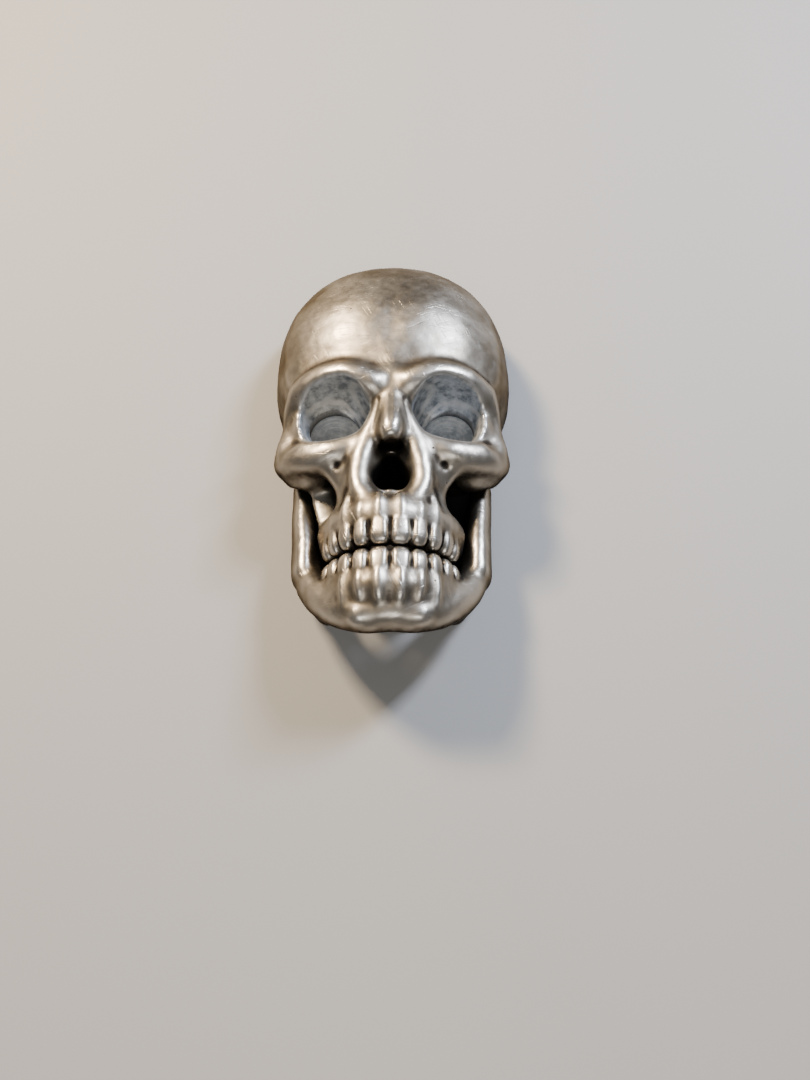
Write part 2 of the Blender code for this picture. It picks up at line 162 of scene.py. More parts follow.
def ridge_pair(bm, points, flatten=(1, 1, 1)):
    """A ridge and its mirror image."""
    for side in (1, -1):
        ridge(bm, [(Vector((side * p.x, p.y, p.z)), r) for p, r in points], flatten)


def taper(bm, x, y, low, high, low_radius, high_radius):
    """An upright round peg, wider at one end."""
    made = bmesh.ops.create_cone(bm, cap_ends=True, segments=48, depth=high - low,
                                 radius1=low_radius, radius2=high_radius)
    bmesh.ops.translate(bm, vec=(x, y, (low + high) / 2), verts=made["verts"])


def turned(profile, x, y, steps=96):
    """A solid of revolution about the vertical through x, y; a profile row is (radius, z)."""
    bm = bmesh.new()
    verts = [bm.verts.new((r, 0, z)) for r, z in profile]
    edges = [bm.edges.new(pair) for pair in zip(verts, verts[1:])]
    bmesh.ops.spin(bm, geom=verts + edges, axis=(0, 0, 1), cent=(0, 0, 0),
                   angle=2 * math.pi, steps=steps, use_merge=True)
    bmesh.ops.remove_doubles(bm, verts=bm.verts, dist=0.0005)
    bmesh.ops.recalc_face_normals(bm, faces=bm.faces)
    bmesh.ops.translate(bm, vec=(x, y, 0), verts=bm.verts)
    return bm


def piece(name, bm):
    """Turns a bmesh drawn in millimetres into an object in metres."""
    bmesh.ops.scale(bm, vec=(MM, MM, MM), verts=bm.verts)
    mesh = bpy.data.meshes.new(name)
    bm.to_mesh(mesh)
    bm.free()
    obj = bpy.data.objects.new(name, mesh)
    bpy.context.scene.collection.objects.link(obj)
    return obj


def reopened(mesh):
    """A bmesh in millimetres of a mesh in metres."""
    bm = bmesh.new()
    bm.from_mesh(mesh)
    bmesh.ops.scale(bm, vec=(1 / MM, 1 / MM, 1 / MM), verts=bm.verts)
    return bm


def settle(obj):
    """Makes the object's modifiers part of its mesh."""
    graph = bpy.context.evaluated_depsgraph_get()
    done = bpy.data.meshes.new_from_object(obj.evaluated_get(graph))
    obj.modifiers.clear()
    old = obj.data
    obj.data = done
    bpy.data.meshes.remove(old)


def remesh(obj, voxel, rounding):
    """Runs overlapping shapes together and rounds off the joins, by about so many millimetres."""
    step = obj.modifiers.new("remesh", "REMESH")
    step.mode = "VOXEL"
    step.voxel_size = voxel * MM
    smooth = obj.modifiers.new("soften", "SMOOTH")
    smooth.factor = 0.5
    smooth.iterations = max(1, round((rounding / voxel) ** 2))
    settle(obj)


def cut(obj, *tools):
    """Cuts the tools' shapes out of the object and throws the tools away."""
    for tool in tools:
        step = obj.modifiers.new("cut", "BOOLEAN")
        step.operation = "DIFFERENCE"
        step.object = tool
    settle(obj)
    for tool in tools:
        bpy.data.objects.remove(tool)


# ---------------------------------------------------------------- sculpting

class Clay:
    """A mesh held as arrays in millimetres, for strokes that push it in or pull it out."""

    def __init__(self, obj):
        self.mesh = obj.data
        count = len(self.mesh.vertices)
        self.co = np.empty(count * 3, np.float32)
        self.mesh.vertices.foreach_get("co", self.co)
        self.co = self.co.reshape(-1, 3) / MM
        self.edges = np.empty(len(self.mesh.edges) * 2, np.int32)
        self.mesh.edges.foreach_get("vertices", self.edges)
        self.edges = self.edges.reshape(-1, 2)
        self.update()
        bm = reopened(self.mesh)
        self.tree = BVHTree.FromBMesh(bm)
        bm.free()

    def update(self):
        """Writes the points to the mesh and reads its new normals."""
        self.mesh.vertices.foreach_set("co", (self.co * MM).astype(np.float32).ravel())
        self.mesh.update()
        normals = np.empty(len(self.co) * 3, np.float32)
        self.mesh.vertex_normals.foreach_get("vector", normals)
        self.normals = normals.reshape(-1, 3)

    def front(self, across, level):
        """The point of the front surface at a share of the half width and a level."""
        above = at(across, level, 2.0)
        hit = self.tree.ray_cast(above, (0, 0, -1))[0]
        return hit or at(across, level, 0.5)

    def distance(self, points):
        """Each vertex's distance from a chain of points."""
        best = np.full(len(self.co), 1e9)
        for a, b in zip(points, points[1:]):
            a, along = np.array(a), np.array(b) - np.array(a)
            t = np.clip(((self.co - a) @ along) / max(along @ along, 1e-9), 0, 1)
            best = np.minimum(best, np.linalg.norm(self.co - a - t[:, None] * along, axis=1))
        return best

    def press(self, chains, width, depth):
        """Pushes the surface in near chains of points, deepest on them."""
        near = np.min([self.distance(chain) for chain in chains], axis=0)
        near = np.clip(1 - near / width, 0, 1)
        self.co -= self.normals * (near ** 2 * (3 - 2 * near) * depth)[:, None]
        self.update()

    def stroke(self, path, width, depth):
        """Presses a soft groove along a path on the front and its mirror image; each point is
        (across, level). A negative depth raises a ridge."""
        path = [(Vector((across, level, 0)), 0) for across, level in path]
        chains = []
        for side in (1, -1):
            chains.append([self.front(side * p[0], p[1]) for p in smooth_path(path, 5)])
        self.press(chains, width, depth)

    def ripple(self, size, depth, seed):
        """Hand finishing: soft swells of about this size and depth."""
        shift = Vector((seed, 2.3 * seed, 4.1 * seed))
        swell = [noise.noise(Vector(co) / size + shift) for co in self.co.tolist()]
        self.co += self.normals * (np.array(swell) * depth)[:, None]
        self.update()

    def spread(self, values, rounds):
        """Averages values with their neighbours'."""
        a, b = self.edges.T
        count = len(self.co)
        links = np.bincount(a, minlength=count) + np.bincount(b, minlength=count)
        for _ in range(rounds):
            total = (np.bincount(a, values[b], count) + np.bincount(b, values[a], count))
            values = 0.5 * values + 0.5 * total / np.maximum(links, 1)
        return values

    def to_smooth(self, rounds):
        """The way from each vertex to its place on a smoothed copy of the surface."""
        smooth = [self.spread(self.co[:, i].astype(float), rounds) for i in range(3)]
        return np.stack(smooth, 1) - self.co

    def hollowness(self, rounds):
        """How far each vertex lies below a smoothed copy of the surface, in millimetres."""
        return (self.to_smooth(rounds) * self.normals).sum(1)

    def rub(self, spare, passes):
        """Wears down sharp crests, where the surface stands proud of a slightly smoothed copy
        of itself by more than spare millimetres."""
        for _ in range(passes):
            away = self.to_smooth(2)
            proud = self.spread(-(away * self.normals).sum(1), 2)
            self.co += away * np.clip(proud / spare - 1, 0, 1)[:, None]
            self.update()

    def save(self, name, values):
        """Stores one value per vertex, for the material to read."""
        attribute = self.mesh.attributes.new(name, "FLOAT", "POINT")
        attribute.data.foreach_set("value", values.astype(np.float32))


def open_sky(clay, tree, reach):
    """The share of the sky that a polishing wheel could come from, at each vertex."""
    spiral = math.pi * (3 - math.sqrt(5))  # the golden angle
    lift = 0.06  # starts each ray just off the surface
    aims = []
    for i in range(RAYS):
        share = (i + 0.5) / RAYS
        flat, angle = math.sqrt(share), spiral * i
        aims.append((flat * math.cos(angle), flat * math.sin(angle), math.sqrt(1 - share)))
    normal = clay.normals.astype(float)
    helper = np.where(np.abs(normal[:, :1]) > 0.9, (0.0, 1.0, 0.0), (1.0, 0.0, 0.0))
    side = np.cross(normal, helper)
    side /= np.maximum(np.linalg.norm(side, axis=1), 1e-9)[:, None]
    other = np.cross(normal, side)
    start = (clay.co + lift * normal) * MM
    seen = np.zeros(len(clay.co))
    for x, y, z in aims:
        rays = x * side + y * other + z * normal
        for i, (origin, ray) in enumerate(zip(start.tolist(), rays.tolist())):
            if tree.ray_cast(origin, ray, reach * MM)[0] is None:
                seen[i] += 1
    return clay.spread(seen / RAYS, 4)


# ---------------------------------------------------------------- the castings

def arch_point(angle, level):
    """A point on the arch that the teeth stand on; angle 0 is the midline."""
    middle = at(0, level, ARCH_CENTRE)
    across, deep = DENTAL_ARCH
    return middle + Vector((across * math.sin(angle), 0, deep * math.cos(angle)))


def gum(bm, level, radius):
    """The ridge of bone that a row of teeth stands in, as a run of overlapping beads."""
    reach, beads_a_side, set_back = math.radians(78), 18, 1.0
    for i in range(2 * beads_a_side + 1):
        point = arch_point(reach * (i / beads_a_side - 1), level)
        point.z -= set_back
        ellipsoid(bm, point, (radius, radius * 1.15, radius), subdivisions=3)


def tooth_places():
    """For each tooth on one side: the angle of its middle on the arch, its lean and its width."""
    across, deep = DENTAL_ARCH
    angle = 0.0
    places = []
    for width in TOOTH_WIDTHS:
        reach = math.hypot(across * math.cos(angle), deep * math.sin(angle))
        middle = angle + width / 2 / reach
        lean = math.atan2(deep * math.sin(middle), across * math.cos(middle))
        places.append((middle, lean, width))
        angle += width / reach
    return places


def tooth(bm, centre, size, lean, biting, point):
    """A pillowed crown with a narrower neck and a thin biting edge, which is at -1 or 1."""
    made = bmesh.ops.create_icosphere(bm, subdivisions=4, radius=1)
    pillow, neck, thinning = 4.2, 0.10, 0.25
    for vert in made["verts"]:
        vert.co /= sum(abs(c) ** pillow for c in vert.co) ** (1 / pillow)
        bite = vert.co.y * biting
        vert.co.x *= 1 - neck * max(0, -bite) - point * max(0, bite) ** 2
        vert.co.z *= 1 - thinning * max(0, bite) ** 2
    place = Matrix.LocRotScale(centre, Euler((0, lean, 0)), Vector(size) / 2)
    bmesh.ops.transform(bm, matrix=place, verts=made["verts"])


def tooth_row(bm, level, height, biting):
    """The crowns of one row of teeth; those round the side are a little shorter."""
    space = 0.06
    for side in (1, -1):
        for (middle, lean, width), point in zip(tooth_places(), TOOTH_POINTS):
            centre = arch_point(side * middle, level)
            size = (width - space, height * (1.04 - 0.03 * lean), TOOTH_DEPTH)
            tooth(bm, centre, size, side * lean, biting, point)


def roots(bm, level, height, biting):
    """The swellings that the teeth's roots make in the bone."""
    for side in (1, -1):
        for (middle, lean, width), root in zip(tooth_places(), ROOT_LENGTHS):
            centre = arch_point(side * middle, level)
            centre.y -= biting * (height / 2 + 0.25 * root)
            ellipsoid(bm, centre, (0.42 * width, root, TOOTH_DEPTH * 0.57),
                      turn=(0, side * math.degrees(lean), 0))


def orbit_centre(side, height):
    """The middle of an eye socket, at this share of the height."""
    return at(side * (ORBIT_SPACING + ORBIT_WIDTH), ORBIT_LEVEL, height)


def socket_turn(side):
    """A socket's turn in degrees: it faces a little outwards and its outer corner drops."""
    return (0, side * 14, side * -10)


def skull_form():
    """The cranium, brow, nose, cheekbones and upper jaw as overlapping rounded masses."""
    bm = bmesh.new()
    length, height = SKULL_LENGTH, TOTAL_HEIGHT
    ellipsoid(bm, at(0, CRANIUM_LEVEL, 0.12), (HALF, CRANIUM_LEVEL * length, 0.79 * height),
              subdivisions=6, squareness=CRANIUM_SQUARENESS)
    ellipsoid(bm, at(0, 0.35, 0.30), (0.80 * HALF, 0.21 * length, 0.61 * height), subdivisions=5)
    ellipsoid(bm, at(0, 0.50, 0.28), (0.74 * HALF, 0.13 * length, 0.50 * height))
    ellipsoid(bm, at(0, 0.66, 0.34), (0.38 * HALF, 0.13 * length, 0.46 * height))
    for side in (1, -1):
        orbit_wall = at(side * 0.47, ORBIT_LEVEL + 0.01, 0.34)
        ellipsoid(bm, orbit_wall, (0.42 * HALF, 0.107 * length, 0.44 * height))
        cheekbone = at(side * 0.64, CHEEK_LEVEL - 0.005, 0.50)
        ellipsoid(bm, cheekbone, (0.26 * HALF, 0.050 * length, 0.20 * height),
                  turn=(0, side * 35, side * 10))
    brow = [
        (at(0.13, BROW_LEVEL + 0.016, 0.83), 3.3),
        (at(0.34, BROW_LEVEL - 0.006, 0.815), 3.7),
        (at(0.58, BROW_LEVEL - 0.006, 0.72), 3.6),
        (at(0.76, BROW_LEVEL + 0.025, 0.57), 3.0),
        (at(0.81, ORBIT_LEVEL, 0.51), 2.5),
        (at(0.79, CHEEK_LEVEL - 0.03, 0.54), 2.9),
    ]
    cheek = [
        (at(0.26, CHEEK_LEVEL - 0.025, 0.74), 2.7),
        (at(0.46, CHEEK_LEVEL, 0.73), 3.0),
        (at(0.65, CHEEK_LEVEL - 0.005, 0.64), 3.3),
        (at(0.79, CHEEK_LEVEL - 0.015, 0.50), 3.2),
        (at(0.83, CHEEK_LEVEL - 0.05, 0.34), 2.8),
        (at(0.83, CHEEK_LEVEL - 0.09, 0.18), 2.8),
    ]
    pillar = [
        (at(0.44, CHEEK_LEVEL + 0.015, 0.70), 2.8),
        (at(0.31, 0.680, 0.68), 2.9),
        (at(0.30, 0.745, 0.64), 3.0),
    ]
    nose_side = [
        (at(0.07, ORBIT_LEVEL, 0.81), 2.3),
        (at(0.19, NOSE_TOP_LEVEL + 0.01, 0.79), 2.5),
        (at(0.24, NOSE_BASE_LEVEL - 0.02, 0.78), 2.5),
        (at(0.15, NOSE_BASE_LEVEL + 0.03, 0.80), 2.4),
    ]
    for points in (brow, cheek, pillar, nose_side):
        ridge_pair(bm, points)
    ridge(bm, [
        (at(0, BROW_LEVEL + 0.03, 0.82), 2.8),
        (at(0, ORBIT_LEVEL, 0.85), 2.3),
        (at(0, NOSE_TOP_LEVEL - 0.030, 0.900), 2.5),
        (at(0, NOSE_TOP_LEVEL - 0.005, 0.905), 2.2),
    ])
    ellipsoid(bm, at(0, BROW_LEVEL - 0.002, 0.830), (5.0, 4.5, 2.4))  # between the brows
    gum(bm, 0.765, 2.9)
    gum(bm, 0.793, 2.3)
    casting_web = at(-0.50, 0.68, 0.42)  # left by the mould across one cheek
    ellipsoid(bm, casting_web, (3.6, 6.5, 1.1))
    return bm


def jaw_uprights(bm, spare=0.0):
    """The jaw's broad upright ends, which run up behind the cheekbones."""
    rows = [
        (at(JAW_WIDTH - 0.08, JAW_ANGLE_LEVEL - 0.005, 0.31), 2.9 + spare),
        (at(JAW_WIDTH - 0.07, JAW_ANGLE_LEVEL - 0.075, 0.28), 2.9 + spare),
        (at(JAW_WIDTH - 0.04, CHEEK_LEVEL + 0.075, 0.24), 2.6 + spare),
        (at(JAW_WIDTH - 0.01, CHEEK_LEVEL, 0.20), 2.2 + spare),
    ]
    ridge_pair(bm, rows, flatten=(1, 1, 1.9))


def jaw_form():
    """The lower jaw's U-shaped band, chin, gum and upright ends."""
    bm = bmesh.new()
    ridge_pair(bm, [
        (at(0.00, CHIN_LEVEL, 0.73), 3.1),
        (at(0.20, CHIN_LEVEL - 0.001, 0.71), 3.2),
        (at(0.39, CHIN_LEVEL - 0.023, 0.61), 3.1),
        (at(0.54, CHIN_LEVEL - 0.064, 0.47), 3.0),
        (at(JAW_WIDTH - 0.11, JAW_ANGLE_LEVEL, 0.36), 2.9),
        (at(JAW_WIDTH - 0.10, JAW_ANGLE_LEVEL - 0.06, 0.30), 2.7),
        (at(JAW_WIDTH - 0.08, JAW_ANGLE_LEVEL - 0.11, 0.26), 2.4),
    ], flatten=(1, 1.15, 1.1))
    jaw_uprights(bm)
    ellipsoid(bm, at(0, CHIN_LEVEL + 0.005, 0.75), (5.6, 3.0, 3.3))
    for side in (1, -1):
        ellipsoid(bm, at(side * 0.20, CHIN_LEVEL + 0.010, 0.74), (3.0, 2.6, 3.0))
    gum(bm, LOWER_TEETH_LEVEL + 0.050, 2.9)
    gum(bm, LOWER_TEETH_LEVEL + 0.024, 2.6)
    return bm


def socket_tool():
    """The two rounded forms that hollow out the eye sockets."""
    bm = bmesh.new()
    for side in (1, -1):
        ellipsoid(bm, orbit_centre(side, SOCKET_HEIGHT), SOCKET_RADII, turn=socket_turn(side),
                  subdivisions=5, squareness=SOCKET_SQUARENESS)
    return piece("socket_tool", bm)


def socket_share(clay):
    """How far each vertex belongs to the inside of an eye socket, from 0 to 1."""
    inside = np.zeros(len(clay.co))
    for side in (1, -1):
        turn = Euler([math.radians(a) for a in socket_turn(side)]).to_matrix()
        away = (clay.co - np.array(orbit_centre(side, SOCKET_HEIGHT))) @ np.array(turn)
        away = np.abs(away / np.array(SOCKET_RADII)) ** SOCKET_SQUARENESS
        span = away.sum(1) ** (1 / SOCKET_SQUARENESS)  # 1 on the socket's own surface
        inside = np.maximum(inside, np.clip((1.11 - span) / 0.09, 0, 1))
    return inside


def nose_tool():
    """A pear-shaped opening with some draught: its two sides spread from a narrow top."""
    bm = bmesh.new()
    narrow, wide = 1.1, NOSE_WIDTH * HALF * 0.55
    top, base = NOSE_TOP_LEVEL + 0.020, NOSE_BASE_LEVEL - 0.035
    steps = 8
    for side in (1, -1):
        for i in range(steps + 1):
            t = i / steps
            middle = at(side * 0.052 * t ** 1.3, top + (base - top) * t, 0)
            radius = narrow + (wide - narrow) * t
            taper(bm, middle.x, middle.y, 0.40 * TOTAL_HEIGHT, 1.1 * TOTAL_HEIGHT,
                  0.85 * radius, 1.1 * radius)
    tool = piece("nose_tool", bm)
    remesh(tool, 0.3, 0.45)
    return tool


def upright_room_tool():
    """Room behind the cheekbones for the jaw's upright ends."""
    bm = bmesh.new()
    jaw_uprights(bm, spare=0.7)
    tool = piece("upright_room_tool", bm)
    remesh(tool, 0.5, 0.5)
    return tool


def base_tool():
    """Takes away everything below the castings' flat rim."""
    bm = bmesh.new()
    made = bmesh.ops.create_cube(bm, size=1)
    block = Vector((80, 120, 30))
    bmesh.ops.scale(bm, vec=block, verts=made["verts"])
    bmesh.ops.translate(bm, vec=(0, 0, CASTING_BASE - block.z / 2), verts=made["verts"])
    return piece("base_tool", bm)


def hollows_tool():
    """The hollows behind the cranium and behind the nose."""
    bm = bmesh.new()
    radii = (HALF - SHELL_WALL, 0.208 * SKULL_LENGTH, 0.79 * TOTAL_HEIGHT - SHELL_WALL)
    ellipsoid(bm, at(0, 0.245, 0.12), radii, subdivisions=5, squareness=CRANIUM_SQUARENESS)
    ellipsoid(bm, at(0, 0.66, 0.12), (0.32 * HALF, 0.115 * SKULL_LENGTH, 0.42 * TOTAL_HEIGHT))
    return piece("hollows_tool", bm)


def cup_tool(side):
    """A socket's round window, with a wider seat for its cup behind it."""
    seat, shoulder = CUP_RADIUS + FIT_GAP, CUP_HIGH.z + FIT_GAP
    past_base, past_shoulder = 12, 4
    low, high = CUP_LOW.z - past_base, shoulder + past_shoulder
    centre = orbit_centre(side, 0)
    return piece("cup_tool", turned([
        (0, low), (seat, low), (seat, shoulder), (CUP_WINDOW_RADIUS, shoulder),
        (CUP_WINDOW_RADIUS, high), (0, high)], centre.x, centre.y))


def fit(obj, low, high):
    """Scales a finished casting to its CAD node's box."""
    co = np.array([v.co for v in obj.data.vertices]) / MM
    size = co.max(0) - co.min(0)
    goal = np.array(high - low)
    scale = goal / size
    move = np.array(low) - co.min(0) * scale
    obj.data.transform(Matrix.LocRotScale(Vector(move * MM), Euler(), Vector(scale)))


def run_in(casting, shapes, row, voxel, rounding):
    """The casting with the shapes of a row of teeth run into it."""
    name = casting.name
    bm = reopened(casting.data)
    shapes(bm, *row)
    bpy.data.objects.remove(casting)
    casting = piece(name, bm)
    remesh(casting, voxel, rounding)
    return casting


def model_skull(clay):
    """The bones' planes and hollows, worked into the smooth form."""
    clay.stroke([(0.30, 0.265), (0.40, 0.285)], 12.0, -0.55)  # the forehead's two fullnesses
    clay.stroke([(0.93, 0.42), (0.91, 0.50)], 6.5, 1.0)  # temples
    clay.stroke([(0.80, 0.425), (0.85, 0.36), (0.86, 0.28), (0.80, 0.19)], 2.6, -0.30)
    clay.stroke([(0.08, 0.378), (0.34, 0.362), (0.62, 0.372)], 5.0, 0.30)  # above the brow
    clay.stroke([(0.02, 0.470), (0.02, 0.480)], 3.2, 0.35)  # root of the nose
    clay.stroke([(0.42, 0.662), (0.37, 0.700)], 3.8, 0.75)  # beside the nose
    clay.stroke([(0.56, 0.652), (0.74, 0.645)], 2.4, 0.45)  # under the cheekbones
    clay.stroke([(0.50, 0.588), (0.68, 0.582)], 2.4, -0.30)  # cheekbones' upper edge


def chase_skull(clay):
    """Small chased marks: the nerve holes and the seams of the nasal bones."""
    clay.stroke([(0.40, 0.642), (0.405, 0.645)], 1.3, 0.28)
    clay.stroke([(0.0, 0.490), (0.0, 0.568)], 0.55, 0.10)
    clay.stroke([(0.095, 0.495), (0.120, 0.535), (0.150, 0.575)], 0.6, 0.10)


def model_jaw(clay):
    """The dip above the chin and the nerve holes beside it."""
    clay.stroke([(0.00, 0.938), (0.20, 0.936), (0.34, 0.926)], 2.6, 0.40)  # above the chin
    clay.stroke([(0.43, 0.914), (0.435, 0.916)], 1.2, 0.28)


def make_skull():
    """The upper casting: form, hollows, roots, teeth, chased marks and the cuts behind."""
    skull = piece("skull_casting", skull_form())
    remesh(skull, ROUGH_VOXEL, 2.2)
    model_skull(Clay(skull))
    cut(skull, socket_tool(), nose_tool(), upright_room_tool())
    row = (UPPER_TEETH_LEVEL, UPPER_TOOTH_HEIGHT, -1)
    skull = run_in(skull, roots, row, ROUGH_VOXEL, 1.3)
    Clay(skull).rub(0.03, 12)
    skull = run_in(skull, tooth_row, row, FINE_VOXEL, 0.50)
    clay = Clay(skull)
    clay.rub(0.05, 3)
    chase_skull(clay)
    clay.ripple(5.5, 0.16, 3)
    clay.ripple(1.7, 0.035, 7)
    cut(skull, base_tool(), hollows_tool(), cup_tool(1), cup_tool(-1))
    return skull


def make_jaw():
    """The lower casting, made in the same steps."""
    jaw = piece("jaw_casting", jaw_form())
    remesh(jaw, ROUGH_VOXEL, 1.4)
    model_jaw(Clay(jaw))
    row = (LOWER_TEETH_LEVEL, LOWER_TOOTH_HEIGHT, 1)
    jaw = run_in(jaw, roots, row, ROUGH_VOXEL, 1.2)
    Clay(jaw).rub(0.04, 8)
    jaw = run_in(jaw, tooth_row, row, FINE_VOXEL, 0.50)
    clay = Clay(jaw)
    clay.rub(0.05, 3)
    clay.ripple(5.5, 0.14, 5)
    clay.ripple(1.7, 0.035, 9)
    cut(jaw, base_tool())
    return jaw


def mark_wear_and_painted_shade(clay, tree):
    """Saves where the metal is open to polishing, where it stands proud or sinks in, the
    steep sides, more so low down, which get painted shade, and the eye sockets."""
    clay.save("open_sky", open_sky(clay, tree, WHEEL_REACH))
    groove_rounds = round((GROOVE_SIZE / FINE_VOXEL) ** 2)
    clay.save("fine_hollow", clay.spread(clay.hollowness(groove_rounds), 3))
    clay.save("broad_hollow", clay.hollowness(round((VALLEY_SIZE / FINE_VOXEL) ** 2)))
    # Painted shade: the steep sides, more so low down, are darkened as a dark surrounding would
    # darken their reflections.
    steep = np.clip((STEEP_FROM - clay.normals[:, 2]) / STEEP_FROM, 0, 1)
    low = np.clip((LOW_FROM - clay.co[:, 2]) / LOW_BAND, 0, 1)
    painted_shade_on_side, painted_shade_low_down = 0.62, 0.85
    painted_side_shade = np.maximum(painted_shade_on_side * steep, painted_shade_low_down * steep * low)
    clay.save("painted_side_shade", clay.spread(painted_side_shade, 6))
    clay.save("socket", clay.spread(socket_share(clay), 3))


def make_castings():
    """Both castings in their CAD nodes' boxes, with the wear and the painted side shade marked on
    them together.
    """
    skull, jaw = make_skull(), make_jaw()
    fit(skull, SKULL_LOW, SKULL_HIGH)
    fit(jaw, JAW_LOW, JAW_HIGH)
    both = bmesh.new()
    both.from_mesh(skull.data)
    both.from_mesh(jaw.data)
    tree = BVHTree.FromBMesh(both)
    both.free()
    for casting in (skull, jaw):
        mark_wear_and_painted_shade(Clay(casting), tree)
        casting.data.shade_smooth()
        casting.data.set_sharp_from_angle(angle=math.radians(65))
    return skull, jaw


# ---------------------------------------------------------------- the small parts

def make_eye_cup(name, node_name):
    """A turned cup with a scooped front and the faint, uneven rings that the tool left."""
    low, high = (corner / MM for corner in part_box(node_name))
    centre = (low + high) / 2
    scoop_depth, ring_pitch, ring_height = 0.85, 0.62, 0.016
    profile = []
    steps = 60
    for i in range(steps + 1):
        r = CUP_RADIUS * 0.965 * i / steps
        drop = scoop_depth * (1 - (r / CUP_RADIUS) ** 2)
        ring = ring_height * math.sin(2 * math.pi * r / ring_pitch + 1.4 * math.sin(1.9 * r))
        profile.append((r, high.z - 0.05 - drop + ring * min(1, r)))
    profile += [(CUP_RADIUS - 0.06, high.z - 0.02), (CUP_RADIUS, high.z - 0.12),
                (CUP_RADIUS, low.z + 0.15), (CUP_RADIUS - 0.15, low.z), (0, low.z)]
    cup = piece(name, turned(profile, centre.x, centre.y))
    cup.data.shade_smooth()
    cup.data.set_sharp_from_angle(angle=math.radians(50))
    return cup


def die_cut(name, node_name, rounding):
    """A copy of a flat CAD piece whose outer edges are rounded."""
    flat, sharp, screw_room = 0.01, 1, 2.5
    bm = reopened(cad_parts[node_name].data)
    bmesh.ops.remove_doubles(bm, verts=bm.verts, dist=0.001)
    bmesh.ops.dissolve_limit(bm, angle_limit=0.01, verts=bm.verts, edges=bm.edges)
    low, high = (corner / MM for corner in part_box(node_name))
    screws = [(a + b) / 2 / MM for a, b in map(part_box, SCREWS)]  # their holes stay sharp
    rim = []
    for edge in bm.edges:
        a, b = (v.co for v in edge.verts)
        level = abs(a.z - b.z) < flat and min(a.z - low.z, high.z - a.z) < flat
        middle = (a + b) / 2
        plain = all((middle - screw).to_2d().length > screw_room for screw in screws)
        if level and plain and len(edge.link_faces) == 2 and edge.calc_face_angle() > sharp:
            rim.append(edge)
    bmesh.ops.bevel(bm, geom=rim, offset=rounding, segments=4, profile=0.5,
                    affect="EDGES", material=-1)
    made = piece(name, bm)
    made.data.shade_smooth()
    made.data.set_sharp_from_angle(angle=math.radians(40))
    return made


# ---------------------------------------------------------------- materials

def linear(hex_colour):
    """An sRGB hex colour as linear RGBA."""
    shares = [int(hex_colour[i:i + 2], 16) / 255 for i in (1, 3, 5)]
    return (*[s / 12.92 if s <= 0.04045 else ((s + 0.055) / 1.055) ** 2.4 for s in shares], 1)


def new_material(name):
    """A new material with its node tree and its shader."""
    material = bpy.data.materials.new(name)
    material.use_nodes = True
    return material, material.node_tree, material.node_tree.nodes["Principled BSDF"]


def add(tree, kind, links=(), **settings):
    """Adds a node, sets its properties, and fills or links its sockets."""
    made = tree.nodes.new(kind)
    for name, value in settings.items():
        setattr(made, name, value)
    for socket, value in dict(links).items():
        if isinstance(value, bpy.types.NodeSocket):
            tree.links.new(value, made.inputs[socket])
        else:
            made.inputs[socket].default_value = value
    return made


def per_mm(size):
    """A texture scale that repeats about every size millimetres, on metre coordinates."""
    return 1 / (size * MM)


def fine_scratches(tree, where, turn, width, seed):
    """Sparse short hairlines that run roughly one way; 1 in a scratch and 0 elsewhere. They are
    wider than real ones, so that they show."""
    lay = add(tree, "ShaderNodeMapping", {
        "Vector": where, "Location": (seed * MM, seed * MM, 0),
        "Rotation": (0, 0, math.radians(turn)), "Scale": (1, 22, 6)}, vector_type="TEXTURE")
    line = add(tree, "ShaderNodeTexNoise", {
        "Vector": lay.outputs["Vector"], "Scale": per_mm(width), "Detail": 0})
    patch = add(tree, "ShaderNodeTexNoise", {"Vector": where, "Scale": per_mm(6 + seed)})
    line = add(tree, "ShaderNodeMapRange", {
        "Value": line.outputs["Fac"], "From Min": 0.67, "From Max": 0.75})
    patch = add(tree, "ShaderNodeMapRange", {
        "Value": patch.outputs["Fac"], "From Min": 0.46, "From Max": 0.58})
    return add(tree, "ShaderNodeMath", {
        0: line.outputs["Result"], 1: patch.outputs["Result"]},
        operation="MULTIPLY").outputs["Value"]


def casting_pits(tree, where, spacing, radius):
    """Pinholes of gas in the casting, in about one cell in five; 1 in a pit."""
    cells = add(tree, "ShaderNodeTexVoronoi", {"Vector": where, "Scale": per_mm(spacing)})
    chance = add(tree, "ShaderNodeSeparateColor", {"Color": cells.outputs["Color"]})
    chosen = add(tree, "ShaderNodeMapRange", {
        "Value": chance.outputs["Red"], "From Min": 0.76, "From Max": 0.84})
    hole = add(tree, "ShaderNodeMapRange", {
        "Value": cells.outputs["Distance"], "From Min": radius / spacing,
        "From Max": 0.3 * radius / spacing})
    return add(tree, "ShaderNodeMath", {
        0: hole.outputs["Result"], 1: chosen.outputs["Result"]},
        operation="MULTIPLY").outputs["Value"]


